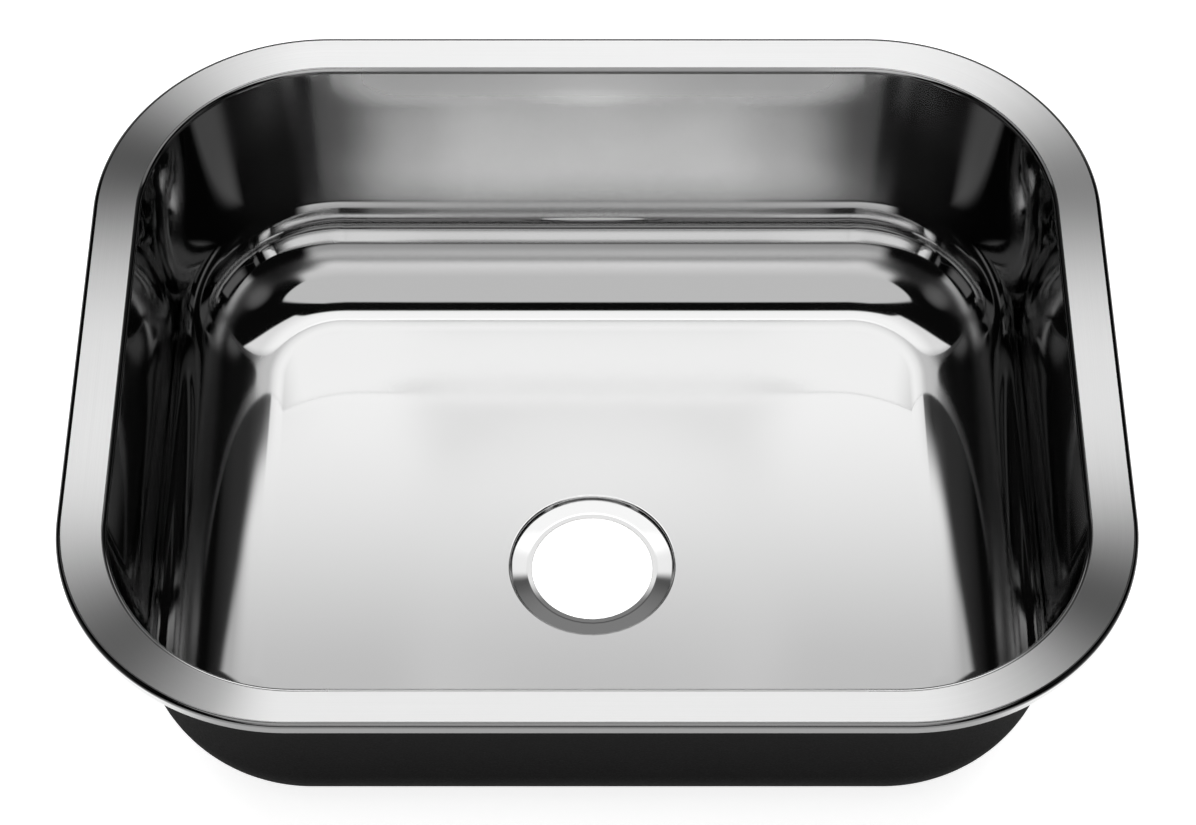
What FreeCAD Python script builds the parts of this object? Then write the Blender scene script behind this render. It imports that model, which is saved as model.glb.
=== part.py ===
import FreeCAD, Part
import math
import os

from FreeCAD import Vector as V

os.makedirs("parts", exist_ok=True)

# Undermount kitchen sink. Millimetres, +Z up, +X to the right, +Y to the back.
# z = 0 is the flat top of the rim, and x = y = 0 is the centre of its outline,
# so the frame's origin is the centre of the face that meets the worktop.

# ---------------------------------------------------------------- dimensions
RIM_W = 660.0          # flat top of the rim, left to right
RIM_D = 540.0          # flat top of the rim, front to back
RIM_R = 146.0          # corner radius of the flat top
ROLL = 3.3             # radius of the rolled outer edge, outside the flat
LIP = 8.0              # height of the turned-down lip, rim top to lip edge
OPEN_W = 610.0         # opening between the inner edges of the flat
OPEN_D = 495.0
OPEN_R = 124.5
OPEN_Y = -2.0          # the opening sits a little towards the front
ROLL_IN = 3.5          # radius of the inner roll into the wall
DRAFT = 5.4            # wall draft, degrees
FLOOR_Z = -187.0       # inside of the floor, away from the drain
FILLET = 70.0          # wall to floor, inside
SHEET = 1.2            # steel thickness
COAT = 1.2             # black sound coat on the outside
COAT_TOP = -30.0       # the coat stops here, below the brackets

DRAIN_X = -3.4         # the drain sits forward of the middle and a touch left
DRAIN_Y = -36.5
DISH_R = 128.0         # slight fall towards the drain
DISH_DROP = 0.6
SEAT_R = 55.8          # corner of the recessed drain seat, before its roll
BRINK = 1.7            # roll at that corner, so the seat measures 114 across
STEP_R = 54.7          # foot of the seat's steep step
STEP_DROP = 3.5
SEAT_DROP = 4.8        # full depth of the seat, at the hole
SEAT_FLAT_R = 44.0     # level ring round the hole
HOLE_R = 41.0          # drain hole
BARE_R = 76.0          # no coat inside this radius below the drain

PAD_T = 6.4            # bottom pads, the lowest thing on the sink
WALL_PAD_T = 4.0

# clip sets: distances are inwards from the outer face of the lip
STUD_IN = 16.0
STUD_R = 3.0
SHELF_TOP = -6.0
SHELF_T = 2.0
CLIP_T = 2.5
CLIP_HALF = 7.5
CLIP_REACH = 36.0      # stud axis to the far end of the clip
CLIP_HOLE_AT = 28.0    # stud axis to the screw hole
CLIP_HOLE_R = 2.75
GAP = 0.35
SITE_X = 150.0         # front and back sets, each side of the middle
SITE_Y = 90.0          # left and right sets, each side of the opening's middle

# the seat's section: brink, foot of the step, start of the level ring
SEAT_TOP = FLOOR_Z - DISH_DROP
SEAT_LINE = [(SEAT_R, SEAT_TOP), (STEP_R, SEAT_TOP - STEP_DROP), (SEAT_FLAT_R, SEAT_TOP - SEAT_DROP)]

TAN = math.tan(math.radians(DRAFT))
COS = math.cos(math.radians(DRAFT))
# the unrolled corner of flat and wall, which the inner roll then rounds off
TOP_TRIM = ROLL_IN * math.tan(math.radians((90.0 - DRAFT) / 2.0))
UP = V(0, 0, 1)


# ------------------------------------------------------------------- helpers
def outline(a, b, r, z, cy=0.0):
    """Rounded rectangle, half sizes a and b, as four lines and four arcs."""
    k = r * math.sqrt(0.5)
    e = []
    c = [(a - r, b - r, 1, 1), (-(a - r), b - r, -1, 1), (-(a - r), -(b - r), -1, -1), (a - r, -(b - r), 1, -1)]
    pts = []
    for i, (cx, cyy, sx, sy) in enumerate(c):
        first = (cx + sx * r, cyy) if i % 2 == 0 else (cx, cyy + sy * r)
        last = (cx, cyy + sy * r) if i % 2 == 0 else (cx + sx * r, cyy)
        mid = (cx + sx * k, cyy + sy * k)
        pts.append([V(p[0], p[1] + cy, z) for p in (first, mid, last)])
    for i in range(4):
        f, m, l = pts[i]
        e.append(Part.Arc(f, m, l).toShape())
        e.append(Part.LineSegment(l, pts[(i + 1) % 4][0]).toShape())
    return Part.Wire(e)


def cavity(grow, z_top, z_floor_extra=0.0):
    """Solid that fills the bowl, its walls moved outwards by grow."""
    out = grow / COS
    a0 = OPEN_W / 2 - TOP_TRIM + out
    b0 = OPEN_D / 2 - TOP_TRIM + out
    r0 = OPEN_R - TOP_TRIM + out
    zb = FLOOR_Z - grow
    top = outline(a0 + z_top * TAN, b0 + z_top * TAN, r0 + z_top * TAN, z_top, OPEN_Y)
    bot = outline(a0 + zb * TAN, b0 + zb * TAN, r0 + zb * TAN, zb, OPEN_Y)
    s = Part.makeLoft([top, bot], True, True)
    low = [e for e in s.Edges if abs(e.BoundBox.ZMin - zb) < 1e-4 and abs(e.BoundBox.ZMax - zb) < 1e-4]
    return s.makeFillet(FILLET + grow, low)


def turned(points):
    """Solid of revolution about the drain's axis from (radius, z) points."""
    w = Part.makePolygon([V(DRAIN_X + r, DRAIN_Y, z) for r, z in points + points[:1]])
    return Part.Face(w).revolve(V(DRAIN_X, DRAIN_Y, 0), UP, 360)


def offset_line(points, grow):
    """A run of (radius, z) points moved down and outwards by grow, square to each leg."""
    legs = []
    for (r0, z0), (r1, z1) in zip(points, points[1:]):
        n = math.hypot(r1 - r0, z1 - z0)
        legs.append(((z0 - z1) / n, (r1 - r0) / n))
    out = []
    for i, (r, z) in enumerate(points):
        near = legs[max(i - 1, 0):i + 1] or legs[:1]
        a, b = near[0], near[-1]
        k = grow / (1 + a[0] * b[0] + a[1] * b[1])
        out.append((r + k * (a[0] + b[0]), z + k * (a[1] + b[1])))
    return out


def dish(grow):
    """Shallow fall of the floor and the drain seat, moved outwards by grow."""
    line = [(DISH_R, FLOOR_Z)] + SEAT_LINE + [(0, SEAT_LINE[-1][1])]
    line = offset_line(line, grow)
    line[0] = (DISH_R, FLOOR_Z - grow)
    line[-1] = (0, line[-1][1])
    return turned([(0, FLOOR_Z - grow + 1.0), (DISH_R, FLOOR_Z - grow + 1.0)] + line)


def sweep(profile, a, b, r, cy=0.0):
    """Runs a closed profile round a rounded rectangle. profile(s) are (out, z) points."""
    done = []
    def face(origin, out):
        pts = []
        edges = []
        for seg in profile:
            p = [V(origin.x + out.x * s, origin.y + out.y * s, z) for s, z in seg]
            edges.append(Part.LineSegment(*p).toShape() if len(p) == 2 else Part.Arc(*p).toShape())
        return Part.Face(Part.Wire(edges))
    k = [(a, b - r, 1, 0), (a - r, b, 0, 1), (-a, b - r, -1, 0), (-(a - r), -b, 0, -1)]
    lines = [
        (V(a, -(b - r) + cy, 0), V(1, 0, 0), V(0, 2 * (b - r), 0)),
        (V(a - r, b + cy, 0), V(0, 1, 0), V(-2 * (a - r), 0, 0)),
        (V(-a, b - r + cy, 0), V(-1, 0, 0), V(0, -2 * (b - r), 0)),
        (V(-(a - r), -b + cy, 0), V(0, -1, 0), V(2 * (a - r), 0, 0)),
    ]
    for o, out, along in lines:
        done.append(face(o, out).extrude(along))
    turns = [
        (V(a, b - r + cy, 0), V(1, 0, 0), V(a - r, b - r + cy, 0)),
        (V(-(a - r), b + cy, 0), V(0, 1, 0), V(-(a - r), b - r + cy, 0)),
        (V(-a, -(b - r) + cy, 0), V(-1, 0, 0), V(-(a - r), -(b - r) + cy, 0)),
        (V(a - r, -b + cy, 0), V(0, -1, 0), V(a - r, -(b - r) + cy, 0)),
    ]
    for o, out, centre in turns:
        done.append(face(o, out).revolve(centre, UP, 90))
    s = done[0].fuse(done[1:])
    return s.removeSplitter()


def one(shape, name):
    """The single solid of a shape, checked."""
    s = shape.removeSplitter() if hasattr(shape, "removeSplitter") else shape
    assert len(s.Solids) == 1, (name, len(s.Solids))
    s = s.Solids[0]
    assert s.isValid() and s.Volume > 0, name
    return s


made = {}


def keep(name, shape):
    s = one(shape, name)
    made[name] = s
    s.exportStep("parts/%s.step" % name)
    bb = s.BoundBox
    print("%-18s %10.0f mm3  x %.1f..%.1f  y %.1f..%.1f  z %.1f..%.1f" % (name, s.Volume, bb.XMin, bb.XMax, bb.YMin, bb.YMax, bb.ZMin, bb.ZMax))


# ---------------------------------------------------------------------- bowl
inside = cavity(0.0, 0.0).fuse(dish(0.0))
outside = cavity(SHEET, -SHEET).fuse(dish(SHEET))

plate = Part.Face(outline(RIM_W / 2, RIM_D / 2, RIM_R, 0.0)).extrude(V(0, 0, -SHEET))
q = math.sqrt(0.5)
ri = ROLL - SHEET
edge_profile = [
    [(0, 0), (ROLL * q, -ROLL + ROLL * q), (ROLL, -ROLL)],
    [(ROLL, -ROLL), (ROLL, -LIP)],
    [(ROLL, -LIP), (ri, -LIP)],
    [(ri, -LIP), (ri, -ROLL)],
    [(ri, -ROLL), (ri * q, -ROLL + ri * q), (0, -SHEET)],
    [(0, -SHEET), (0, 0)],
]
lip = sweep(edge_profile, RIM_W / 2, RIM_D / 2, RIM_R)
shell = plate.fuse([outside, lip]).cut(inside).removeSplitter()
hole = Part.makeCylinder(HOLE_R, 40, V(DRAIN_X, DRAIN_Y, FLOOR_Z - 30))
shell = shell.cut(hole)


def ring_edges(shape, z, a, b, tol=0.6):
    """Edges that lie flat at height z on the rounded rectangle of half sizes a and b."""
    found = []
    for e in shape.Edges:
        bb = e.BoundBox
        if abs(bb.ZMin - z) > 1e-3 or abs(bb.ZMax - z) > 1e-3:
            continue
        if max(abs(bb.XMin), abs(bb.XMax)) > a + tol or max(abs(bb.YMin - OPEN_Y), abs(bb.YMax - OPEN_Y)) > b + tol:
            continue
        if max(abs(bb.XMin), abs(bb.XMax)) < a - tol and max(abs(bb.YMin - OPEN_Y), abs(bb.YMax - OPEN_Y)) < b - tol:
            continue
        found.append(e)
    return found


a_in = OPEN_W / 2 - TOP_TRIM
b_in = OPEN_D / 2 - TOP_TRIM
top_edges = ring_edges(shell, 0.0, a_in, b_in)
a_out = OPEN_W / 2 - TOP_TRIM + SHEET / COS - SHEET * TAN
b_out = OPEN_D / 2 - TOP_TRIM + SHEET / COS - SHEET * TAN
low_edges = ring_edges(shell, -SHEET, a_out, b_out)
print("inner roll edges", len(top_edges), len(low_edges))
shell = shell.makeFillet(ROLL_IN, top_edges)
low_edges = ring_edges(shell, -SHEET, a_out, b_out)
shell = shell.makeFillet(ROLL_IN - SHEET, low_edges)

# the seat's brink is rolled over and its foot is radiused, on both faces
under_line = offset_line([(DISH_R, FLOOR_Z)] + SEAT_LINE, SHEET)[1:]


def rounded(shape, at, radius):
    edge = [e for e in shape.Edges if hasattr(e.Curve, "Radius") and abs(e.Curve.Radius - at[0]) < 0.02 and abs(e.BoundBox.ZMin - at[1]) < 0.02 and e.BoundBox.ZLength < 0.02]
    assert edge, at
    return shape.makeFillet(radius, edge)


shell = rounded(shell, SEAT_LINE[0], BRINK)
shell = rounded(shell, under_line[0], BRINK - SHEET)
shell = rounded(shell, SEAT_LINE[1], 0.8)
shell = rounded(shell, under_line[1], 0.8 + SHEET)
keep("bowl", shell)

# ----------------------------------------------------------------- undercoat
metal = cavity(SHEET, -SHEET).fuse(dish(SHEET))
coated = cavity(SHEET + COAT, COAT_TOP).fuse(dish(SHEET + COAT))
bare = Part.makeCylinder(BARE_R, 60, V(DRAIN_X, DRAIN_Y, FLOOR_Z - 50))
above = Part.makeBox(800, 800, 60, V(-400, -400, COAT_TOP))
coat = coated.cut(metal).cut(bare).cut(above)
keep("undercoat", coat)


# ---------------------------------------------------------------------- pads
def slab(x0, x1, y0, y1, r, z, t):
    w = outline((x1 - x0) / 2, (y1 - y0) / 2, r, z)
    w.translate(V((x0 + x1) / 2, (y0 + y1) / 2, 0))
    s = Part.Face(w).extrude(V(0, 0, -t))
    low = [e for e in s.Edges if abs(e.BoundBox.ZMax - (z - t)) < 1e-4]
    return s.makeFillet(1.5, low)


under = FLOOR_Z - SHEET - COAT
keep("bottom_pad_left", slab(-210, -130, -126, 122, 14, under, PAD_T))
keep("bottom_pad_right", slab(130, 210, -126, 122, 14, under, PAD_T))
keep("bottom_pad_rear", slab(-110, 110, 96, 152, 14, under, PAD_T))


def wall_point(side, along, z, off):
    """A point on the outside of a wall, off mm out from the steel's inner face, square to it."""
    out = off / COS
    if side in ("left", "right"):
        x = OPEN_W / 2 - TOP_TRIM + out + z * TAN
        return V(x if side == "right" else -x, along + OPEN_Y, z)
    y = OPEN_D / 2 - TOP_TRIM + out + z * TAN
    return V(along, (y if side == "back" else -y) + OPEN_Y, z)


def wall_normal(side):
    n = {"left": V(-1, 0, 0), "right": V(1, 0, 0), "front": V(0, -1, 0), "back": V(0, 1, 0)}[side]
    return (n * COS + V(0, 0, -1) * math.sin(math.radians(DRAFT))).normalize()


def wall_slab(side, s0, s1, z0, z1, off, t, r):
    """A pad on a flat wall: from s0 to s1 along it, z0 to z1, standing t proud."""
    c = wall_point(side, (s0 + s1) / 2, (z0 + z1) / 2, off)
    n = wall_normal(side)
    along = V(0, 1, 0) if side in ("left", "right") else V(1, 0, 0)
    up = n.cross(along)
    if up.z < 0:
        up = up * -1
    hw, hh = (s1 - s0) / 2, (z0 - z1) / 2 / COS
    w = outline(hw, hh, r, 0)
    m = FreeCAD.Matrix(along.x, up.x, n.x, c.x, along.y, up.y, n.y, c.y, along.z, up.z, n.z, c.z, 0, 0, 0, 1)
    if m.determinant() < 0:
        along = along * -1
        m = FreeCAD.Matrix(along.x, up.x, n.x, c.x, along.y, up.y, n.y, c.y, along.z, up.z, n.z, c.z, 0, 0, 0, 1)
    s = Part.Face(w).extrude(V(0, 0, t))
    far = [e for e in s.Edges if abs(e.BoundBox.ZMin - t) < 1e-4]
    s = s.makeFillet(1.2, far)
    s.Placement = FreeCAD.Placement(m)
    return s


keep("side_pad_left", wall_slab("left", -85, 85, -52, -118, SHEET + COAT, WALL_PAD_T, 12))
keep("side_pad_right", wall_slab("right", -85, 85, -52, -118, SHEET + COAT, WALL_PAD_T, 12))
keep("back_pad", wall_slab("back", -130, 130, -52, -118, SHEET + COAT, WALL_PAD_T, 12))


# ----------------------------------------------------------------- clip sets
# Built once in a local frame, then placed: local x runs along the rim, the way
# the stowed clip points, local y points outwards, and the stud is the z axis.
def local_parts(wall_at_top, mirror):
    """wall_at_top: distance from the stud axis in to the steel wall at z = 0."""
    def wall(z):
        return -(wall_at_top - z * TAN)

    shelf_bot = SHELF_TOP - SHELF_T
    leg_bot = -27.0
    # side view of the angle: shelf, bend and leg against the sloping wall
    ti = SHELF_T / COS
    out_y = 7.5
    prof = [
        (wall(SHELF_TOP), SHELF_TOP),
        (out_y, SHELF_TOP),
        (out_y, shelf_bot),
        (wall(shelf_bot) + ti, shelf_bot),
        (wall(leg_bot) + ti, leg_bot),
        (wall(leg_bot), leg_bot),
    ]
    f = Part.Face(Part.makePolygon([V(-13, y, z) for y, z in prof + prof[:1]]))
    br = f.extrude(V(28, 0, 0))
    # round the shelf's outer corners and the leg's lower ones
    up_edges = [e for e in br.Edges if abs(e.BoundBox.YMin - out_y) < 1e-3 and abs(e.BoundBox.YMax - out_y) < 1e-3 and abs(e.BoundBox.ZLength - SHELF_T) < 1e-3]
    br = br.makeFillet(3.0, up_edges)
    # the tab that stops the clip when it points straight out
    tab = Part.makeBox(1.6, 5.0, CLIP_T + GAP + 0.4, V(-CLIP_HALF - 0.4 - 1.6, 0.2, shelf_bot - CLIP_T - GAP - 0.4))
    br = br.fuse(tab).removeSplitter()
    br = br.cut(Part.makeCylinder(STUD_R + 0.05, 10, V(0, 0, shelf_bot - 4)))

    head = Part.makeCylinder(6.5, 1.4, V(0, 0, SHELF_TOP))
    head = head.makeFillet(0.6, [e for e in head.Edges if abs(e.BoundBox.ZMin - (SHELF_TOP + 1.4)) < 1e-3])
    end = -21.5
    shank = Part.makeCylinder(STUD_R, SHELF_TOP - end, V(0, 0, end))
    shank = shank.makeChamfer(0.6, [e for e in shank.Edges if abs(e.BoundBox.ZMax - end) < 1e-3])
    stud = head.fuse(shank).removeSplitter()

    ct = shelf_bot - GAP
    a = CLIP_HALF
    straight = CLIP_REACH - 5.0
    e = [
        Part.Arc(V(0, a, ct), V(-a, 0, ct), V(0, -a, ct)).toShape(),
        Part.LineSegment(V(0, -a, ct), V(straight, -a, ct)).toShape(),
        Part.Arc(V(straight, -a, ct), V(straight + 5 * q, -a + 5 - 5 * q, ct), V(straight + 5, -a + 5, ct)).toShape(),
        Part.LineSegment(V(straight + 5, -a + 5, ct), V(straight + 5, a - 5, ct)).toShape(),
        Part.Arc(V(straight + 5, a - 5, ct), V(straight + 5 * q, a - 5 + 5 * q, ct), V(straight, a, ct)).toShape(),
        Part.LineSegment(V(straight, a, ct), V(0, a, ct)).toShape(),
    ]
    clip = Part.Face(Part.Wire(e)).extrude(V(0, 0, -CLIP_T))
    # a pressed stiffening rib along the arm, between the stud and the screw hole
    rib = Part.makeCylinder(1.6, 9.0, V(9.5, 0, ct - CLIP_T + 0.6), V(1, 0, 0))
    rib = rib.fuse([Part.makeSphere(1.6, V(9.5, 0, ct - CLIP_T + 0.6)), Part.makeSphere(1.6, V(18.5, 0, ct - CLIP_T + 0.6))])
    clip = clip.fuse(rib).removeSplitter()
    clip = clip.cut(Part.makeCylinder(STUD_R + 0.3, 10, V(0, 0, ct - 6)))
    clip = clip.cut(Part.makeCylinder(CLIP_HOLE_R, 10, V(CLIP_HOLE_AT, 0, ct - 6)))

    nt = ct - CLIP_T - GAP
    fl = Part.makeCone(6.0, 7.1, 1.1, V(0, 0, nt - 1.1))
    hexa = Part.makePolygon([V(5.0 / math.cos(math.pi / 6) * math.cos(math.radians(60 * i)), 5.0 / math.cos(math.pi / 6) * math.sin(math.radians(60 * i)), nt - 1.1) for i in range(7)])
    body = Part.Face(hexa).extrude(V(0, 0, -4.9))
    crown = Part.makeCone(5.0, 9.9, 4.9, V(0, 0, nt - 6.0))
    body = body.common(crown)
    nut = fl.fuse(body).removeSplitter().cut(Part.makeCylinder(STUD_R + 0.06, 12, V(0, 0, nt - 9)))
    parts = {"bracket": br, "stud": stud, "clip": clip, "nut": nut}
    if mirror:
        parts = {k: s.mirror(V(0, 0, 0), V(1, 0, 0)) for k, s in parts.items()}
    return parts


half_w = RIM_W / 2 + ROLL
half_d = RIM_D / 2 + ROLL
steel_x = OPEN_W / 2 - TOP_TRIM + SHEET / COS
steel_yf = OPEN_D / 2 - TOP_TRIM + SHEET / COS - OPEN_Y
steel_yb = OPEN_D / 2 - TOP_TRIM + SHEET / COS + OPEN_Y
sx, sf = half_w - STUD_IN, half_d - STUD_IN
# number, stud x, stud y, turn about Z of the local frame, mirrored, stud to steel at z = 0
sites = [
    (1, -SITE_X, -sf, 180, True, sf - steel_yf),
    (2, SITE_X, -sf, 180, False, sf - steel_yf),
    (3, sx, -SITE_Y + OPEN_Y, -90, True, sx - steel_x),
    (4, sx, SITE_Y + OPEN_Y, -90, False, sx - steel_x),
    (5, SITE_X, sf, 0, True, sf - steel_yb),
    (6, -SITE_X, sf, 0, False, sf - steel_yb),
    (7, -sx, SITE_Y + OPEN_Y, 90, True, sx - steel_x),
    (8, -sx, -SITE_Y + OPEN_Y, 90, False, sx - steel_x),
]
for n, x, y, turn, flip, gap in sites:
    # local +x points along the rim towards the middle of that side
    for kind, s in local_parts(gap, flip).items():
        s = s.copy()
        s.rotate(V(0, 0, 0), UP, turn)
        s.translate(V(x, y, 0))
        keep("%s_%d" % (kind, n), s)
    t = math.radians(turn)
    d = -1 if flip else 1
    print("site", n, "hole at rest", round(x + d * CLIP_HOLE_AT * math.cos(t), 3), round(y + d * CLIP_HOLE_AT * math.sin(t), 3))
print("overall", 2 * half_w, 2 * half_d, "lowest", under - PAD_T, "seat", SEAT_TOP - SEAT_DROP - SHEET)
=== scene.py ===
import bpy
import math
import numpy as np
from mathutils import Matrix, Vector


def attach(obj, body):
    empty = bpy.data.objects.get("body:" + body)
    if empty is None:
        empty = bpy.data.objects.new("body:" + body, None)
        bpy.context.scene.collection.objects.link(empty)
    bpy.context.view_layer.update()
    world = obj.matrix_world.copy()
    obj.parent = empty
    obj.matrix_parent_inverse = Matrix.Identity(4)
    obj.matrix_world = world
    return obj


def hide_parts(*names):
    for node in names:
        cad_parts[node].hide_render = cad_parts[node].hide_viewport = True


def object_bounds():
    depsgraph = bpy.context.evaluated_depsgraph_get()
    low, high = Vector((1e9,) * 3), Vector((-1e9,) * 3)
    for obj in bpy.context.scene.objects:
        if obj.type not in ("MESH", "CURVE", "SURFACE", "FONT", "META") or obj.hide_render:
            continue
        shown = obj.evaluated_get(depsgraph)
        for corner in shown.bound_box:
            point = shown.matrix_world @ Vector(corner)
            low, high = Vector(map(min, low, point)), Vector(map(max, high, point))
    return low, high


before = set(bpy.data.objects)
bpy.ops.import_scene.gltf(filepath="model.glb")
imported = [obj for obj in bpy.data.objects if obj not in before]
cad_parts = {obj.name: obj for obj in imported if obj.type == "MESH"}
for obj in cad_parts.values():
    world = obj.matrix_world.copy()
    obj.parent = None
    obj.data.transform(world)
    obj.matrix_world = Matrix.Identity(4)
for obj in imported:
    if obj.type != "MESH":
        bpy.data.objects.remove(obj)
cad_low, cad_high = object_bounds()

MM = 0.001
scene = bpy.context.scene

# ------------------------------------------------------------ the steel shell
RIM = dict(a=330.0, b=270.0, r=146.0, cy=0.0)       # outline of the flat top
OPEN = dict(a=305.0, b=247.5, r=124.5, cy=-2.0)     # inner edge of the flat
ROLL, LIP, ROLL_IN, SHEET, COAT = 3.3, 8.0, 3.5, 1.2, 1.2
DRAFT = math.radians(5.4)
TAN, COS, SIN = math.tan(DRAFT), math.cos(DRAFT), math.sin(DRAFT)
FLOOR_Z, FILLET = -187.0, 70.0
COAT_TOP = -30.0
DRAIN = np.array([-3.4, -36.5])
DISH_R, DISH_DROP, HOLE_R, BARE_R = 128.0, 0.6, 41.0, 76.0
SEAT_TOP = FLOOR_Z - DISH_DROP
SEAT_LINE = [(55.8, SEAT_TOP), (54.7, SEAT_TOP - 3.5), (44.0, SEAT_TOP - 4.8)]   # brink, foot of the step, level ring
BRINK, FOOT, SOFT = 1.7, 0.8, 5.0                                                # radii at those three corners
SEAT_R = SEAT_LINE[0][0]
CORNER_N, LONG_N, SHORT_N = 56, 18, 14
FLOOR_ROUGH, WALL_ROUGH = 0.15, 0.15
# painted light and shade in the base colours: the floor's front-to-back tones, the side walls, the fillet band, the
# seat and the rim's corner bends
FLOOR_PAINTED_LIGHT, WALL_TONE, SIDE_PAINTED_SHADE, FILLET_PAINTED_SHADE, SEAT_PAINTED_REFLECTION = (0.35, 0.67), 0.80, 0.30, 0.30, 0.40
RIM_TONE_AND_PAINTED_SHADE = (0.84, 0.12, 0.10, 0.11, 0.29)


def directions():
    """Outward unit directions and the place of each point on a rounded rectangle, counter-clockwise from the right side's middle corner start."""
    d, kind = [], []
    corners = [(1, 1, 0), (-1, 1, 90), (-1, -1, 180), (1, -1, 270)]
    for k, (sx, sy, a0) in enumerate(corners):
        for i in range(CORNER_N + 1):
            t = math.radians(a0 + 90.0 * i / CORNER_N)
            d.append((math.cos(t), math.sin(t)))
            kind.append((sx, sy, 0.0, k))
        n = LONG_N if k % 2 == 0 else SHORT_N
        for i in range(1, n):
            t = math.radians(a0 + 90.0)
            d.append((math.cos(t), math.sin(t)))
            kind.append((sx, sy, i / n, k))
    return np.array(d), kind


DIRS, KIND = directions()
N = len(DIRS)


def outline_points(o, grow):
    """The rounded rectangle o grown outwards by grow (inwards if negative)."""
    a, b, r = o["a"] + grow, o["b"] + grow, o["r"] + grow
    cx, cy = a - r, b - r
    p = np.zeros((N, 2))
    for i, (sx, sy, f, k) in enumerate(KIND):
        c0 = np.array([sx * cx, sy * cy])
        if f > 0:
            nx = [(-1, 1), (-1, -1), (1, -1), (1, 1)][k]
            c1 = np.array([nx[0] * cx, nx[1] * cy])
            c0 = c0 * (1 - f) + c1 * f
        p[i] = c0 + DIRS[i] * r
    p[:, 1] += o["cy"]
    return p


class Ring:
    """One loop of the surface: points, outward horizontal directions and the profile's normal."""
    def __init__(self, xy, h, z, nh, nz, part):
        self.co = np.column_stack([xy, np.full(len(xy), z) if np.isscalar(z) else z])
        n = np.column_stack([h * (nh if np.isscalar(nh) else nh[:, None]), np.full(len(xy), nz) if np.isscalar(nz) else nz])
        self.no = n / np.linalg.norm(n, axis=1)[:, None]
        self.part = part


def around(o, grow, z, nh, nz, part):
    return Ring(outline_points(o, grow), DIRS, z, nh, nz, part)


def floor_fall(rho):
    """Fall of the floor towards the drain, and its slope, at rho from the drain's axis."""
    t = np.clip((DISH_R + 10 - rho) / (DISH_R + 10 - SEAT_R), 0, 1)
    z = -DISH_DROP * (t * t * (3 - 2 * t) * 0.35 + t * 0.65 * t)
    dt = -1.0 / (DISH_R + 10 - SEAT_R)
    dz = -DISH_DROP * ((6 * t - 6 * t * t) * 0.35 + 1.3 * t) * dt
    return z, dz


def floor_rings(grow, side, edge, inner_r, count, part):
    """Rings from the end of the fillet in to inner_r, along lines through the drain's axis."""
    rel = edge - DRAIN
    far = np.linalg.norm(rel, axis=1)
    d = rel / far[:, None]
    rings = []
    for j in range(1, count + 1):
        t = j / count
        t = t + 0.12 * math.sin(2 * math.pi * t) * -0.5
        rho = far * (1 - t) + inner_r * t
        z, dz = floor_fall(rho)
        rings.append(Ring(DRAIN + d * rho[:, None], d, FLOOR_Z - grow + z, -dz * side, np.full(N, float(side)), part))
    return rings, d


def circle(d, r, z, nh, nz, part):
    return Ring(DRAIN + d * r, d, z, nh, nz, part)


def arc(r0, r1, n):
    return [r0 + (r1 - r0) * i / n for i in range(1, n + 1)]


def skin(grow, side, z_top, part_wall, part_floor, inner_r, wall_n=14, floor_n=22):
    """Wall, fillet and floor moved outwards by grow. side is 1 for the inside face and -1 for the outside."""
    rings = []
    s0 = ROLL_IN * math.sin(math.pi / 2 - DRAFT)
    z0 = -ROLL_IN + ROLL_IN * math.cos(math.pi / 2 - DRAFT)
    s_c = s0 + (z0 - (FLOOR_Z + FILLET - FILLET * SIN)) * TAN + FILLET * COS
    out = grow / COS
    z_tan = FLOOR_Z + FILLET - (FILLET + grow) * SIN
    for t in np.linspace(0, 1, wall_n + 1):
        z = z_top * (1 - t) + z_tan * t
        s = s0 + (z0 - z) * TAN - out
        rings.append(around(OPEN, -s, z, -side * COS, side * SIN, part_wall))
    for al in arc(DRAFT, math.pi / 2, 26):
        s = s_c - (FILLET + grow) * math.cos(al)
        z = FLOOR_Z + FILLET - (FILLET + grow) * math.sin(al)
        rings.append(around(OPEN, -s, z, -side * math.cos(al), side * math.sin(al), part_wall))
    edge = outline_points(OPEN, -s_c)
    more, d = floor_rings(grow, side, edge, inner_r, floor_n, part_floor)
    return rings + more, d


def offset_line(points, grow):
    """A run of (radius, z) points going inwards, moved down and out by grow, square to each leg."""
    legs = []
    for (r0, z0), (r1, z1) in zip(points, points[1:]):
        n = math.hypot(r1 - r0, z1 - z0)
        legs.append(((z0 - z1) / n, (r1 - r0) / n))
    out = []
    for i, (r, z) in enumerate(points):
        a, b = legs[max(i - 1, 0)], legs[min(i, len(legs) - 1)]
        k = grow / (1 + a[0] * b[0] + a[1] * b[1])
        out.append((r + k * (a[0] + b[0]), z + k * (a[1] + b[1])))
    return out


def seat_rings(grow, d, side, part):
    """The drain seat: rolled brink, steep step, radiused foot and shallow cone to the level ring."""
    line = [(DISH_R, SEAT_TOP)] + SEAT_LINE + [(HOLE_R, SEAT_LINE[-1][1])]
    line = offset_line(line, grow)
    rings = []
    for i, radius in ((1, BRINK - grow), (2, FOOT + grow), (3, SOFT + grow)):
        (r0, z0), (r1, z1), (r2, z2) = line[i - 1:i + 2]
        a0 = math.atan2(z0 - z1, r0 - r1)
        a1 = math.atan2(z1 - z2, r1 - r2)
        t = radius * abs(math.tan((a1 - a0) / 2))
        bend = 1 if a1 > a0 else -1
        # centre of the bend, below the brink or above the foot
        sr, sz = r1 + t * math.cos(a0), z1 + t * math.sin(a0)
        cr, cz = sr + bend * radius * math.sin(a0), sz - bend * radius * math.cos(a0)
        steps = (10, 7, 3)[i - 1]
        for j in range(steps + 1):
            a = a0 + (a1 - a0) * j / steps
            rings.append(circle(d, cr - bend * radius * math.sin(a), cz + bend * radius * math.cos(a), -side * math.sin(a), side * math.cos(a), part))
    return rings


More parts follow.
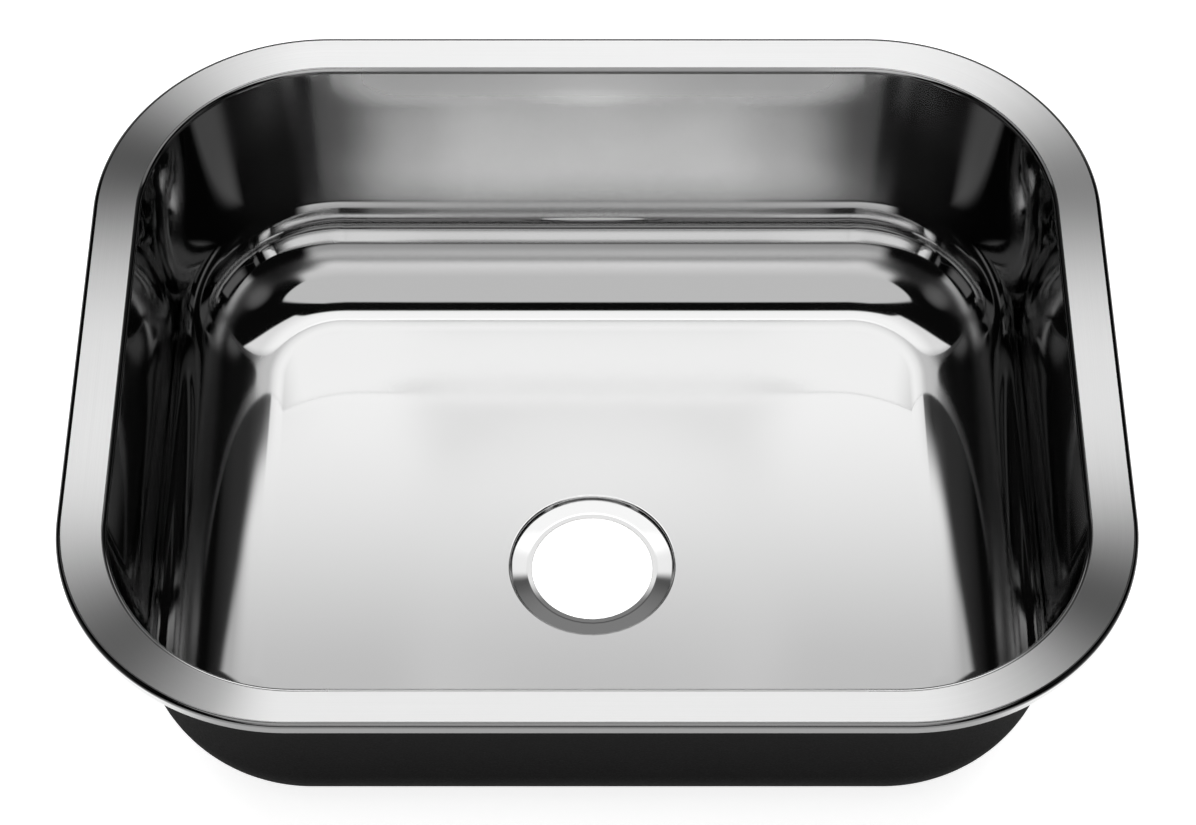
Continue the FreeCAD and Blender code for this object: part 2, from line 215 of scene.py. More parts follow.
def build(name, rings, uv_scale=1.0):
    """A closed tube of rings, smooth, with its own normals and a UV map: u along the loop and v across it, in metres."""
    m = len(rings)
    co = np.concatenate([r.co for r in rings]) * MM
    no = np.concatenate([r.no for r in rings])
    faces, parts = [], []
    for j in range(m):
        k = (j + 1) % m
        for i in range(N):
            i2 = (i + 1) % N
            faces.append((j * N + i, j * N + i2, k * N + i2, k * N + i))
            parts.append(rings[k].part if rings[k].part is not None else rings[j].part)
    mesh = bpy.data.meshes.new(name)
    mesh.from_pydata(co.tolist(), [], faces)
    mesh.update()
    obj = bpy.data.objects.new(name, mesh)
    scene.collection.objects.link(obj)
    # face direction: flip if the first face disagrees with its normals
    f = mesh.polygons[N * (m // 3)]
    if np.dot(np.array(f.normal), no[f.vertices[0]]) < 0:
        mesh.flip_normals()
    mesh.polygons.foreach_set("use_smooth", [True] * len(mesh.polygons))
    # UV
    ref = rings[0]
    ring_len = []
    for r in rings:
        step = np.linalg.norm(np.roll(r.co, -1, axis=0) - r.co, axis=1)
        ring_len.append(np.concatenate([[0], np.cumsum(step)]))
    across = [0.0]
    for j in range(m):
        across.append(across[-1] + float(np.median(np.linalg.norm(rings[(j + 1) % m].co - rings[j].co, axis=1))))
    # u is measured on the flat's outline so that lines across stay square to it
    base = outline_points(OPEN, 0)
    step = np.linalg.norm(np.roll(base, -1, axis=0) - base, axis=1)
    u_ref = np.concatenate([[0], np.cumsum(step)])
    uv = mesh.uv_layers.new(name="along")
    where = {}
    vals = np.zeros((len(mesh.loops), 2))
    for p in mesh.polygons:
        j, i = divmod(p.index, N)
        for li in p.loop_indices:
            v = mesh.loops[li].vertex_index
            vj, vi = divmod(v, N)
            u = u_ref[N] if (vi == 0 and i == N - 1) else u_ref[vi]
            w = across[m] if (vj == 0 and j == m - 1) else across[vj]
            vals[li] = (u * MM, w * MM)
    uv.data.foreach_set("uv", vals.ravel())
    mesh.normals_split_custom_set_from_vertices(no.tolist())
    return obj, parts


def shell_rings():
    # inside, from the flat ring at the bottom of the seat outwards and up
    inside, d = skin(0.0, 1, -ROLL_IN + ROLL_IN * math.cos(math.pi / 2 - DRAFT), "wall", "floor", SEAT_R + 1.6)
    inside = inside + seat_rings(0.0, d, 1, "seat")
    e = 0.25
    z_in = SEAT_LINE[-1][1]
    z_out = z_in - SHEET
    q = math.sqrt(0.5)
    hole = [
        circle(d, HOLE_R + e, z_in, 0, 1, "seat"),
        circle(d, HOLE_R + e * (1 - q), z_in - e * (1 - q), -q, q, "edge"),
        circle(d, HOLE_R, z_in - e, -1, 0, "edge"),
        circle(d, HOLE_R, z_out + e, -1, 0, "edge"),
        circle(d, HOLE_R + e * (1 - q), z_out + e * (1 - q), -q, -q, "edge"),
        circle(d, HOLE_R + e, z_out, 0, -1, "under"),
    ]
    # outside, from the wall's top down to the hole
    gro = SHEET
    o_top = -SHEET - (ROLL_IN - SHEET) + (ROLL_IN - SHEET) * math.cos(math.pi / 2 - DRAFT)
    outside, d2 = skin(gro, -1, o_top, "under", "under", SEAT_R + 4.0, wall_n=10, floor_n=14)
    outside = outside + seat_rings(gro, d2, -1, "under")
    # rim: inner roll, flat, outer roll, lip
    roll = []
    for i in range(0, 9):
        phi = (math.pi / 2 - DRAFT) * (1 - i / 8)
        s = ROLL_IN * math.sin(phi)
        z = -ROLL_IN + ROLL_IN * math.cos(phi)
        roll.append(around(OPEN, -s, z, -math.sin(phi), math.cos(phi), "roll"))
    flat = []
    p0, p1 = outline_points(OPEN, 0), outline_points(RIM, 0)
    for t in (0.04, 0.25, 0.5, 0.75, 0.96):
        flat.append(Ring(p0 * (1 - t) + p1 * t, DIRS, 0.0, 0.0, 1.0, "flat"))
    outer = []
    for i in range(0, 11):
        a = math.pi / 2 * i / 10
        outer.append(around(RIM, ROLL * math.sin(a), -ROLL + ROLL * math.cos(a), math.sin(a), math.cos(a), "lip" if i else "flat"))
    e2 = 0.3
    for z in (-4.8, -6.3, -LIP + e2):
        outer.append(around(RIM, ROLL, z, 1, 0, "lip"))
    outer.append(around(RIM, ROLL - e2 * (1 - q), -LIP + e2 * (1 - q), q, -q, "lip"))
    outer.append(around(RIM, ROLL - e2, -LIP, 0, -1, "lip"))
    ri = ROLL - SHEET
    outer.append(around(RIM, ri + e2, -LIP, 0, -1, "lip"))
    outer.append(around(RIM, ri + e2 * (1 - q), -LIP + e2 * (1 - q), -q, -q, "lip"))
    outer.append(around(RIM, ri, -LIP + e2, -1, 0, "under"))
    for i in range(0, 7):
        a = math.pi / 2 * (1 - i / 6)
        outer.append(around(RIM, ri * math.sin(a), -ROLL + ri * math.cos(a), -math.sin(a), -math.cos(a), "under"))
    rr = ROLL_IN - SHEET
    for i in range(0, 6):
        phi = (math.pi / 2 - DRAFT) * i / 5
        outer.append(around(OPEN, -rr * math.sin(phi), -ROLL_IN + rr * math.cos(phi), math.sin(phi), -math.cos(phi), "under"))
    # closed loop: hole edge, seat, floor, fillet, wall, roll, flat, roll, lip, under the flat, wall outside, floor outside, seat outside
    return list(reversed(hole)) + list(reversed(inside)) + roll[1:] + flat + outer + outside[1:]


def coat_rings():
    g_in, g_out = SHEET + 0.02, SHEET + COAT
    out, d = skin(g_out, -1, COAT_TOP - 0.5, "coat", "coat", BARE_R + 0.6, wall_n=14, floor_n=16)
    inn, d2 = skin(g_in, -1, COAT_TOP, "coat", "coat", BARE_R, wall_n=8, floor_n=8)
    for r in inn:
        r.no = -r.no
    q = math.sqrt(0.5)
    s0 = ROLL_IN * math.sin(math.pi / 2 - DRAFT)
    z0 = -ROLL_IN + ROLL_IN * math.cos(math.pi / 2 - DRAFT)
    s = s0 + (z0 - COAT_TOP) * TAN - g_out / COS
    top = [around(OPEN, -s - 0.5, COAT_TOP, 0, 1, "coat"), around(OPEN, -s - 0.15, COAT_TOP - 0.15, q, q, "coat")]
    # the bare ring's edge round the outlet
    zc = float(floor_fall(np.array([BARE_R]))[0][0]) + FLOOR_Z
    foot = [circle(d, BARE_R + 0.15, zc - g_out + 0.15, -q, -q, "coat"), circle(d, BARE_R, zc - g_out + 0.6, -1, 0, "coat")]
    return top + out + foot + list(reversed(inn))


# ------------------------------------------------------------------ materials
def material(name):
    m = bpy.data.materials.new(name)
    m.use_nodes = True
    nt = m.node_tree
    for n in list(nt.nodes):
        nt.nodes.remove(n)
    out = nt.nodes.new("ShaderNodeOutputMaterial")
    bs = nt.nodes.new("ShaderNodeBsdfPrincipled")
    nt.links.new(bs.outputs[0], out.inputs[0])
    return m, nt, bs


def node(nt, kind, **kw):
    n = nt.nodes.new(kind)
    for k, v in kw.items():
        if k.startswith("in_"):
            n.inputs[k[3:].replace("_", " ")].default_value = v
        else:
            setattr(n, k, v)
    return n


def ramp(nt, fac, stops):
    r = nt.nodes.new("ShaderNodeValToRGB")
    e = r.color_ramp.elements
    while len(e) < len(stops):
        e.new(0.5)
    for el, (p, c) in zip(e, stops):
        el.position = p
        el.color = (c, c, c, 1) if not isinstance(c, tuple) else (*c, 1)
    nt.links.new(fac, r.inputs[0])
    return r.outputs[0]


def mapped(nt, source, scale):
    mp = nt.nodes.new("ShaderNodeMapping")
    mp.inputs["Scale"].default_value = scale
    nt.links.new(source, mp.inputs[0])
    return mp.outputs[0]


def math_node(nt, op, *args):
    """A Math node on sockets or plain numbers."""
    n = nt.nodes.new("ShaderNodeMath")
    n.operation = op
    for i, a in enumerate(args):
        if isinstance(a, (int, float)):
            n.inputs[i].default_value = a
        else:
            nt.links.new(a, n.inputs[i])
    return n.outputs[0]


def rise(nt, v, a, b, lo=0.0, hi=1.0):
    """Smooth step of v from lo at a to hi at b."""
    n = nt.nodes.new("ShaderNodeMapRange")
    n.interpolation_type = "SMOOTHSTEP"
    for k, x in zip(("From Min", "From Max", "To Min", "To Max"), (a, b, lo, hi)):
        n.inputs[k].default_value = x
    if isinstance(v, (int, float)):
        n.inputs["Value"].default_value = v
    else:
        nt.links.new(v, n.inputs["Value"])
    return n.outputs[0]


def times(nt, *args):
    out = args[0]
    for a in args[1:]:
        out = math_node(nt, "MULTIPLY", out, a)
    return out


def map_range(nt, v, a0, a1, b0, b1):
    n = nt.nodes.new("ShaderNodeMapRange")
    for k, x in zip(("From Min", "From Max", "To Min", "To Max"), (a0, a1, b0, b1)):
        n.inputs[k].default_value = x
    nt.links.new(v, n.inputs["Value"])
    return n.outputs[0]


def steel_polished():
    """Drawn and polished inside: near-mirror fillets, finely polished walls, satin floor, with painted light, shade and
    reflections in the base colour.
    """
    m, nt, bs = material("steel_polished")
    bs.inputs["Metallic"].default_value = 1.0
    tc = node(nt, "ShaderNodeTexCoord")
    xyz = node(nt, "ShaderNodeSeparateXYZ")
    nt.links.new(tc.outputs["Object"], xyz.inputs[0])
    x, y, z = xyz.outputs
    h = math_node(nt, "SUBTRACT", z, FLOOR_Z * MM)
    flat = times(nt, rise(nt, h, -0.0035, -0.0012), rise(nt, h, 0.00005, 0.0008, 1.0, 0.0))
    wall = rise(nt, h, 0.045, 0.066)
    n1 = node(nt, "ShaderNodeTexNoise", in_Scale=9.0, in_Detail=2.0)
    nt.links.new(tc.outputs["Object"], n1.inputs["Vector"])
    vary = map_range(nt, n1.outputs["Fac"], 0.1, 0.9, -0.02, 0.02)
    ax = math_node(nt, "ABSOLUTE", x)
    # satin in the middle of the long walls and of the floor, running out to mirror polish at the corners
    middle = rise(nt, ax, 0.090, 0.160, 1.0, 0.0)
    middle_wall = rise(nt, ax, 0.130, 0.205, 1.0, 0.0)
    brow = times(nt, rise(nt, h, 0.150, 0.178), middle_wall)
    rough = math_node(nt, "ADD", times(nt, flat, middle, FLOOR_ROUGH - 0.05), times(nt, wall, middle_wall, WALL_ROUGH - 0.05))
    rough = math_node(nt, "ADD", rough, times(nt, wall, brow, 0.25))
    belt = times(nt, rise(nt, h, 0.012, 0.018), rise(nt, h, 0.022, 0.028, 1.0, 0.0))
    rough = math_node(nt, "ADD", rough, times(nt, belt, 0.15))
    rough = math_node(nt, "ADD", rough, 0.05)
    nt.links.new(math_node(nt, "ADD", rough, vary), bs.inputs["Roughness"])
    # how bright the steel is, with painted light and shade: the satin floor painted darker at the front and lighter at
    # the back, the drawn fillet and the polished walls
    on_floor = rise(nt, y, -0.19, 0.09, *FLOOR_PAINTED_LIGHT)
    on_seat = rise(nt, h, -0.0034, -0.0022, 1.0, 0.0)
    # painted reflections on the seat: the cone is lighter at its sides, and the level ring round the hole is light with
    # a painted dark front
    cone_painted_reflection = math_node(nt, "ADD", SEAT_PAINTED_REFLECTION, times(nt, rise(nt, y, -0.056, -0.040), rise(nt, y, -0.024, -0.004, 1.0, 0.0), 0.26))
    on_ring = rise(nt, h, -0.00538, -0.00522, 1.0, 0.0)
    seat = math_node(nt, "ADD", times(nt, cone_painted_reflection, math_node(nt, "SUBTRACT", 1.0, on_ring)), times(nt, rise(nt, y, -0.064, -0.046, 0.15, 0.62), on_ring))
    on_floor = math_node(nt, "ADD", times(nt, on_floor, math_node(nt, "SUBTRACT", 1.0, on_seat)), times(nt, on_seat, seat))
    # painted shade: the foot of the back fillet is a shade darker than the floor it runs into
    foot = math_node(nt, "SUBTRACT", 1.0, times(nt, rise(nt, h, 0.00002, 0.0011), rise(nt, y, 0.03, 0.09), 0.42))
    on_floor = times(nt, on_floor, foot)
    up = rise(nt, h, 0.0012, 0.0040)
    upper = rise(nt, h, 0.035, 0.100)
    # painted reflection on the fillet: a darker band than the floor, with a painted lighter belt along it
    low = math_node(nt, "ADD", times(nt, on_floor, math_node(nt, "SUBTRACT", 1.0, up)), times(nt, up, math_node(nt, "ADD", times(nt, belt, 0.08), FILLET_PAINTED_SHADE)))
    # painted shade: the side walls are painted darker than the back and front walls
    tone = math_node(nt, "ADD", times(nt, low, math_node(nt, "SUBTRACT", 1.0, upper)), times(nt, upper, rise(nt, ax, 0.225, 0.265, WALL_TONE, SIDE_PAINTED_SHADE)))
    # painted shade on the inner roll: dark along the sides, lighter at the front and a little lighter at the back
    roll_painted_shade = math_node(nt, "ADD", rise(nt, y, -0.245, -0.215, 0.60, 0.12), rise(nt, y, 0.205, 0.238, 0.0, 0.22))
    on_roll = rise(nt, h, 0.1832, 0.1845)
    tone = math_node(nt, "ADD", times(nt, tone, math_node(nt, "SUBTRACT", 1.0, on_roll)), times(nt, roll_painted_shade, on_roll, WALL_TONE))
    grey = node(nt, "ShaderNodeCombineColor")
    for k in range(3):
        nt.links.new(tone, grey.inputs[k])
    nt.links.new(grey.outputs[0], bs.inputs["Base Color"])
    bump = node(nt, "ShaderNodeBump", in_Strength=0.2, in_Distance=0.0004)
    n2 = node(nt, "ShaderNodeTexNoise", in_Scale=12.0, in_Detail=1.0)
    nt.links.new(tc.outputs["Object"], n2.inputs["Vector"])
    nt.links.new(n2.outputs["Fac"], bump.inputs["Height"])
    nt.links.new(bump.outputs[0], bs.inputs["Normal"])
    return m


def steel_rim():
    """Brushed flat rim: the straights are light, and each corner has a dark bend of painted shade, paler at the back
    right.
    """
    m, nt, bs = material("steel_rim")
    bs.inputs["Metallic"].default_value = 1.0
    bs.inputs["Anisotropic"].default_value = 0.5
    bs.inputs["Anisotropic Rotation"].default_value = 0.25
    tc = node(nt, "ShaderNodeTexCoord")
    xyz = node(nt, "ShaderNodeSeparateXYZ")
    nt.links.new(tc.outputs["Object"], xyz.inputs[0])
    ax, ay = math_node(nt, "ABSOLUTE", xyz.outputs[0]), math_node(nt, "ABSOLUTE", xyz.outputs[1])
    cx, cy, mid = (RIM["a"] - RIM["r"]) * MM, (RIM["b"] - RIM["r"]) * MM, 0.135
    qx = math_node(nt, "MAXIMUM", math_node(nt, "SUBTRACT", ax, cx), 0.0001)
    qy = math_node(nt, "MAXIMUM", math_node(nt, "SUBTRACT", ay, cy), 0.0)
    along = math_node(nt, "ADD", math_node(nt, "MINIMUM", ay, cy), times(nt, math_node(nt, "ARCTAN2", qy, qx), mid))
    right, back = rise(nt, xyz.outputs[0], -0.02, 0.02), rise(nt, xyz.outputs[1], -0.05, 0.05)

    def by_corner(fl, fr, bl, br):
        front = math_node(nt, "ADD", fl, times(nt, right, fr - fl))
        rear = math_node(nt, "ADD", bl, times(nt, right, br - bl))
        return math_node(nt, "ADD", times(nt, front, math_node(nt, "SUBTRACT", 1.0, back)), times(nt, rear, back))

    # place, width and depth of the painted dark bend (painted shade) at the front left, front right, back left and back
    # right
    off = math_node(nt, "DIVIDE", math_node(nt, "SUBTRACT", along, by_corner(0.222, 0.187, 0.165, 0.144)), by_corner(0.064, 0.060, 0.060, 0.052))
    painted_corner_shade = times(nt, math_node(nt, "EXPONENT", times(nt, off, off, -0.5)), rise(nt, along, 0.290, 0.336, 1.0, 0.0))
    uv = node(nt, "ShaderNodeUVMap", uv_map="along")
    v = mapped(nt, uv.outputs[0], (6.0, 2600.0, 1.0))
    n1 = node(nt, "ShaderNodeTexNoise", in_Scale=1.0, in_Detail=3.0)
    nt.links.new(v, n1.inputs["Vector"])
    # the rim's base tone less the painted dark bends at the corners
    tone = math_node(nt, "SUBTRACT", RIM_TONE_AND_PAINTED_SHADE[0], times(nt, painted_corner_shade, by_corner(*(RIM_TONE_AND_PAINTED_SHADE[0] - t for t in RIM_TONE_AND_PAINTED_SHADE[1:]))))
    # painted shade: the front of the flange is darker than the back; the noise is the brushing's own random tone
    tone = times(nt, tone, map_range(nt, n1.outputs["Fac"], 0.2, 0.8, 0.94, 1.03), rise(nt, xyz.outputs[1], -0.26, -0.10, 0.80, 1.0))
    grey = node(nt, "ShaderNodeCombineColor")
    for k in range(3):
        nt.links.new(tone, grey.inputs[k])
    nt.links.new(grey.outputs[0], bs.inputs["Base Color"])
    nt.links.new(map_range(nt, n1.outputs["Fac"], 0.2, 0.8, 0.36, 0.42), bs.inputs["Roughness"])
    bump = node(nt, "ShaderNodeBump", in_Strength=0.25, in_Distance=0.00003)
    nt.links.new(n1.outputs["Fac"], bump.inputs["Height"])
    nt.links.new(bump.outputs[0], bs.inputs["Normal"])
    tg = node(nt, "ShaderNodeTangent", direction_type="UV_MAP", uv_map="along")
    nt.links.new(tg.outputs[0], bs.inputs["Tangent"])
    return m


def coating():
    """Sprayed sound-deadening coat: matt, near black, finely pimpled, with painted shade darkening it towards the
    bottom.
    """
    m, nt, bs = material("sound_coat")
    bs.inputs["Specular IOR Level"].default_value = 0.05
    tc = node(nt, "ShaderNodeTexCoord")
    xyz = node(nt, "ShaderNodeSeparateXYZ")
    nt.links.new(tc.outputs["Object"], xyz.inputs[0])
    n1 = node(nt, "ShaderNodeTexNoise", in_Scale=700.0, in_Detail=4.0)
    nt.links.new(tc.outputs["Object"], n1.inputs["Vector"])
    # painted shade: darker towards the bottom and lighter near the top edge; the noise is the coat's own random tone
    tone = times(nt, map_range(nt, n1.outputs["Fac"], 0.3, 0.7, 0.90, 1.10), rise(nt, xyz.outputs[2], -0.150, -0.030, 0.0020, 0.0110))
    grey = node(nt, "ShaderNodeCombineColor")
    for k in range(3):
        nt.links.new(tone, grey.inputs[k])
    nt.links.new(grey.outputs[0], bs.inputs["Base Color"])
    nt.links.new(map_range(nt, n1.outputs["Fac"], 0.3, 0.7, 0.72, 0.88), bs.inputs["Roughness"])
    bump = node(nt, "ShaderNodeBump", in_Strength=0.6, in_Distance=0.0003)
    nt.links.new(n1.outputs["Fac"], bump.inputs["Height"])
    nt.links.new(bump.outputs[0], bs.inputs["Normal"])
    return m


def steel_lip():
    """Polished turned-down edge, with painted light and shade."""
    m, nt, bs = material("steel_lip")
    bs.inputs["Metallic"].default_value = 1.0
    tc = node(nt, "ShaderNodeTexCoord")
    xyz = node(nt, "ShaderNodeSeparateXYZ")
    nt.links.new(tc.outputs["Object"], xyz.inputs[0])
    y, z = xyz.outputs[1], xyz.outputs[2]
    # painted light and shade: the roll is darker than the upright edge under it, most of all away from the front, and
    # the upright edge is painted light near the front corners and darker on the front face and along the sides
    on_roll = rise(nt, z, -0.0034, -0.0018)
    edge = math_node(nt, "ADD", rise(nt, y, -0.270, -0.250, 0.26, 0.65), rise(nt, y, -0.240, -0.120, 0.0, -0.40))
    tone = math_node(nt, "ADD", times(nt, edge, math_node(nt, "SUBTRACT", 1.0, on_roll)), times(nt, rise(nt, y, -0.270, -0.245, 0.17, 0.03), on_roll))
    grey = node(nt, "ShaderNodeCombineColor")
    for k in range(3):
        nt.links.new(tone, grey.inputs[k])
    nt.links.new(grey.outputs[0], bs.inputs["Base Color"])
    uv = node(nt, "ShaderNodeUVMap", uv_map="along")
    n1 = node(nt, "ShaderNodeTexNoise", in_Scale=1.0, in_Detail=3.0)
    nt.links.new(mapped(nt, uv.outputs[0], (5.0, 2200.0, 1.0)), n1.inputs["Vector"])
    nt.links.new(map_range(nt, n1.outputs["Fac"], 0.2, 0.8, 0.07, 0.13), bs.inputs["Roughness"])
    return m


def plain(name, color, metallic, rough, noise_scale=300.0, bump_d=0.00004, strength=0.4, spread=0.08):
    m, nt, bs = material(name)
    bs.inputs["Metallic"].default_value = metallic
    if not metallic:
        bs.inputs["Specular IOR Level"].default_value = 0.05
    tc = node(nt, "ShaderNodeTexCoord")
    n1 = node(nt, "ShaderNodeTexNoise", in_Scale=noise_scale, in_Detail=4.0)
    nt.links.new(tc.outputs["Object"], n1.inputs["Vector"])
    lo = tuple(c * 0.85 for c in color)
    hi = tuple(min(1, c * 1.12) for c in color)
    nt.links.new(ramp(nt, n1.outputs["Fac"], [(0.3, lo), (0.7, hi)]), bs.inputs["Base Color"])
    nt.links.new(map_range(nt, n1.outputs["Fac"], 0.3, 0.7, rough - spread, rough + spread), bs.inputs["Roughness"])
    bump = node(nt, "ShaderNodeBump", in_Strength=strength, in_Distance=bump_d)
    nt.links.new(n1.outputs["Fac"], bump.inputs["Height"])
    nt.links.new(bump.outputs[0], bs.inputs["Normal"])
    return m


MAT = {
    "polished": steel_polished(),
    "rim": steel_rim(),
    "lip": steel_lip(),
    "raw": plain("steel_raw", (0.62, 0.62, 0.61), 1.0, 0.36, 160.0, 0.00002, 0.3, 0.04),
    "coat": coating(),
    "pad": plain("pad_rubber", (0.03, 0.03, 0.032), 0.0, 0.6, 500.0, 0.0001, 0.5),
    "bracket": plain("bracket_steel", (0.50, 0.50, 0.49), 1.0, 0.42, 260.0, 0.00002, 0.3, 0.05),
    "clip": plain("clip_zinc", (0.74, 0.75, 0.76), 1.0, 0.26, 220.0, 0.00002, 0.3, 0.05),
    "nut": plain("nut_zinc", (0.70, 0.68, 0.60), 1.0, 0.22, 240.0, 0.00001, 0.2, 0.04),
    "stud": plain("stud_zinc", (0.66, 0.67, 0.68), 1.0, 0.28, 240.0, 0.00001, 0.2, 0.04),
}

# ---------------------------------------------------------------------- build
bowl, parts = build("bowl_shell", shell_rings())
slots = ["polished", "rim", "raw", "lip"]
for s in slots:
    bowl.data.materials.append(MAT[s])
which = {"wall": 0, "floor": 0, "seat": 0, "roll": 0, "flat": 1, "lip": 3, "edge": 2, "under": 2}
bowl.data.polygons.foreach_set("material_index", [which[p] for p in parts])
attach(bowl, "sink")
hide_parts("bowl")

coat, _ = build("sound_coat_shell", coat_rings())
coat.data.materials.append(MAT["coat"])
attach(coat, "sink")
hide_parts("undercoat")


def threaded_stud(name, cx, cy):
    """A weld stud: low head on the shelf, plain neck, then a 1 mm pitch thread down to a chamfered end. Millimetres."""
    seg, pitch, depth = 36, 1.0, 0.52
    profile = [(6.5, -6.0), (6.5, -5.2)]
    profile += [(5.9 + 0.6 * math.cos(math.pi / 2 * i / 6), -5.2 + 0.6 * math.sin(math.pi / 2 * i / 6)) for i in range(1, 7)]
    rows = [[(r, z)] * seg for r, z in reversed(profile)]
    rows += [[(3.0, -6.0)] * seg, [(3.0, -8.4)] * seg]
    steps = 132
    for j in range(1, steps):
        z = -8.4 - (21.5 - 8.4) * j / steps
        fade = min(1.0, (-8.4 - z) / 0.8)
        limit = 3.0 if z > -20.9 else 3.0 - 0.6 * (-20.9 - z) / 0.6
        row = []
        for i in range(seg):
            f = (z / pitch - i / seg) % 1.0
            cut = min(1.0, max(0.0, 1.25 * (1.0 - abs(2 * f - 1)) - 0.12))
            row.append((min(limit, 3.0 - depth * fade * cut), z))
        rows.append(row)
    rows.append([(2.4, -21.5)] * seg)
    co = [((cx + r * math.cos(2 * math.pi * i / seg)) * MM, (cy + r * math.sin(2 * math.pi * i / seg)) * MM, z * MM)
          for row in rows for i, (r, z) in enumerate(row)]
    faces = []
    for j in range(len(rows) - 1):
        for i in range(seg):
            i2 = (i + 1) % seg
            faces.append((j * seg + i, (j + 1) * seg + i, (j + 1) * seg + i2, j * seg + i2))
    faces.append(tuple(range(seg)))
    last = (len(rows) - 1) * seg
    faces.append(tuple(last + i for i in reversed(range(seg))))
    mesh = bpy.data.meshes.new(name + "_thread")
    mesh.from_pydata(co, [], faces)
    mesh.update()
    obj = bpy.data.objects.new(name + "_thread", mesh)
    scene.collection.objects.link(obj)
    mesh.materials.append(MAT["stud"])
    mesh.polygons.foreach_set("use_smooth", [i < len(faces) - 2 for i in range(len(faces))])
    mesh.set_sharp_from_angle(angle=math.radians(50))
    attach(obj, "sink")
    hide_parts(name)
    return obj


for name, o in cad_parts.items():
    kind = name.rstrip("0123456789").rstrip("_")
    if name in ("bowl", "undercoat"):
        continue
    if kind == "stud":
        pts = np.array([o.matrix_world @ v.co for v in o.data.vertices]) / MM
        cx, cy = (pts[:, 0].min() + pts[:, 0].max()) / 2, (pts[:, 1].min() + pts[:, 1].max()) / 2
        threaded_stud(name, float(cx), float(cy))
        continue
    mat = MAT["pad"] if "pad" in name else MAT[kind]
    o.data.materials.clear()
    o.data.materials.append(mat)

# --------------------------------------------------------------------- stage
floor_z = cad_low[2]
bpy.ops.mesh.primitive_plane_add(size=120.0, location=(0, 0, floor_z))
ground = bpy.context.object
ground.name = "ground"
gm, gnt, gbs = material("ground_white")
gbs.inputs["Base Color"].default_value = (0.85, 0.85, 0.85, 1)
gbs.inputs["Roughness"].default_value = 0.9
gbs.inputs["Emission Color"].default_value = (1, 1, 1, 1)
gbs.inputs["Emission Strength"].default_value = 0.75
ground.data.materials.append(gm)

world = bpy.data.worlds.new("studio")
scene.world = world
world.use_nodes = True


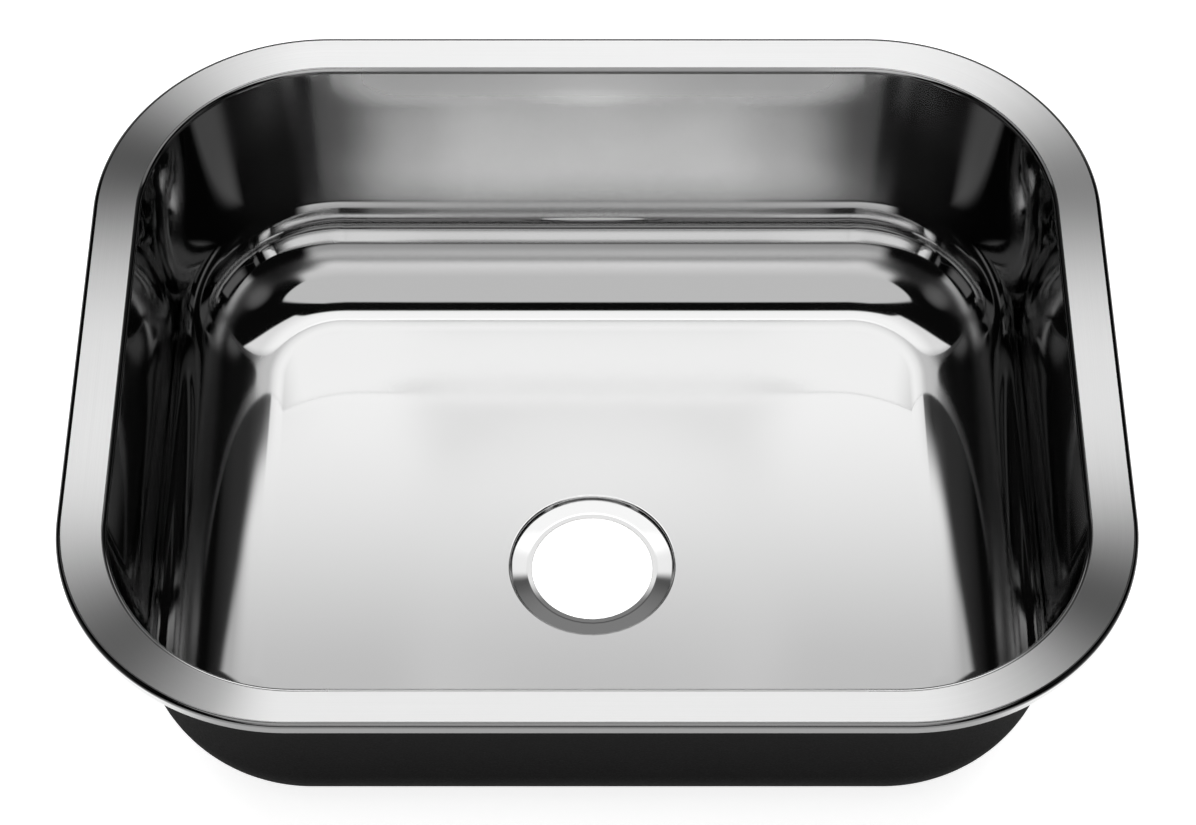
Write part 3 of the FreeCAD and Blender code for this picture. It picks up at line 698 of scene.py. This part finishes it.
def studio(wn):
    """Soft studio light by direction: a softbox overhead and behind, a grey front, dark sides."""
    for n in list(wn.nodes):
        wn.nodes.remove(n)
    wo = wn.nodes.new("ShaderNodeOutputWorld")
    bg = wn.nodes.new("ShaderNodeBackground")
    wn.links.new(bg.outputs[0], wo.inputs[0])
    tc = wn.nodes.new("ShaderNodeTexCoord")
    xyz = wn.nodes.new("ShaderNodeSeparateXYZ")
    wn.links.new(tc.outputs["Generated"], xyz.inputs[0])
    x, y, z = xyz.outputs
    m = lambda op, *a: math_node(wn, op, *a)
    ax = m("ABSOLUTE", x)
    zz = m("MAXIMUM", z, 0.03)
    u, v = m("DIVIDE", ax, zz), m("DIVIDE", y, zz)
    # overhead softbox, leaning to the back, wider towards its far edge
    near = rise(wn, u, 0.15, 0.30, 0.16, 0.10)
    side = m("SUBTRACT", u, m("MULTIPLY", v, 1.56))
    far = m("SUBTRACT", m("SUBTRACT", v, m("MULTIPLY", m("MULTIPLY", u, u), 0.10)), rise(wn, u, 0.10, 0.15, 0.055, 0.0))
    top = times(wn, rise(wn, m("SUBTRACT", v, near), -0.015, 0.015), rise(wn, far, 0.685, 0.735, 1.0, 0.0),
                rise(wn, side, 0.05, 0.12, 1.0, 0.0), rise(wn, u, 1.1, 1.3, 1.0, 0.0), rise(wn, z, 0.05, 0.1), rise(wn, v, 0.48, 0.62, TOP_LIGHT, TOP_FAR))
    # front wall of the studio: wide overhead, narrowing in steps down to 20 degrees, with one dark level shelf
    fy = m("MAXIMUM", m("MULTIPLY", y, -1.0), 0.001)
    spread = m("DIVIDE", ax, fy)
    front = times(wn, rise(wn, v, -0.04, -0.01, 1.0, 0.0), rise(wn, m("DIVIDE", spread, rise(wn, z, 0.82, 0.88, 1.0, 4.0)), 0.60, 0.88, 1.0, 0.0),
                  rise(wn, z, 0.695, 0.725), FRONT_LIGHT)
    above = times(wn, rise(wn, z, 0.640, 0.660), rise(wn, z, 0.695, 0.725, 1.0, 0.0), rise(wn, spread, 0.18, 0.46, 1.35 * FRONT_LIGHT, 0.0))
    shelf = times(wn, rise(wn, z, 0.575, 0.595), rise(wn, z, 0.640, 0.660, 1.0, 0.0), rise(wn, spread, 0.06, 0.20, 0.05 * FRONT_LIGHT, 0.0))
    below = times(wn, rise(wn, z, 0.31, 0.37), rise(wn, z, 0.575, 0.595, 1.0, 0.0), rise(wn, spread, 0.28, 0.50, SLIT_LIGHT, 0.0), rise(wn, z, 0.36, 0.58, 0.8, 1.15))
    slit = times(wn, m("ADD", m("ADD", above, shelf), below), rise(wn, y, -0.05, 0.0, 1.0, 0.0))
    patch = m("ADD", m("ADD", m("MULTIPLY", ax, 0.7575), m("MULTIPLY", y, -0.2172)), m("MULTIPLY", z, 0.6157))
    slit = m("ADD", slit, rise(wn, patch, 0.978, 0.999, 0.0, 0.26))
    # low band at the back
    by = m("MAXIMUM", y, 0.001)
    low = times(wn, rise(wn, z, 0.20, 0.24), rise(wn, z, 0.44, 0.50, 1.0, 0.0), rise(wn, m("DIVIDE", ax, by), 0.65, 0.9, 1.0, 0.0),
                rise(wn, y, 0.0, 0.05), BACK_LIGHT)
    # dim middle of the back, below the softbox
    deep = m("DIVIDE", ax, by)
    low = m("ADD", low, times(wn, rise(wn, z, 0.42, 0.52), rise(wn, z, 0.76, 0.82, 1.0, 0.0), rise(wn, y, 0.0, 0.05),
                              m("ADD", rise(wn, deep, 0.15, 0.40, 0.40, 0.0), rise(wn, deep, 0.9, 1.5, 0.07, 0.0))))
    # one low strip at each side
    sx = m("MAXIMUM", ax, 0.001)
    ratio = m("DIVIDE", m("MULTIPLY", y, -1.0), sx)
    strip = times(wn, rise(wn, z, 0.22, 0.25), rise(wn, z, 0.36, 0.40, 1.0, 0.0), rise(wn, ratio, -0.14, -0.06), rise(wn, ratio, 0.36, 0.50, 1.0, 0.0), SIDE_LIGHT)
    total = m("ADD", m("ADD", m("ADD", top, front), slit), m("ADD", low, strip))
    total = m("ADD", total, rise(wn, z, 0.02, 0.12, 0.5, 0.008))
    wn.links.new(total, bg.inputs["Strength"])
    bg.inputs[0].default_value = (1, 1, 1, 1)


TOP_LIGHT, TOP_FAR, FRONT_LIGHT, SLIT_LIGHT, BACK_LIGHT, SIDE_LIGHT = 2.3, 1.25, 1.6, 1.15, 2.6, 0.9
studio(world.node_tree)

# -------------------------------------------------------------------- camera
UNIT = 0.660
cam_data = bpy.data.cameras.new("camera")
cam = bpy.data.objects.new("camera", cam_data)
scene.collection.objects.link(cam)
cam.location = (0, -1.8819 * UNIT, 2.5116 * UNIT)
cam.rotation_euler = (math.radians(90 - 54.17), 0, 0)
cam_data.sensor_fit = "HORIZONTAL"
cam_data.sensor_width = 36.0
cam_data.lens = 3244.9 / 1196 * 36.0
cam_data.shift_x = 0.0007
cam_data.clip_end = 50
scene.camera = cam

scene.view_settings.view_transform = "Standard"
scene.view_settings.look = "None"
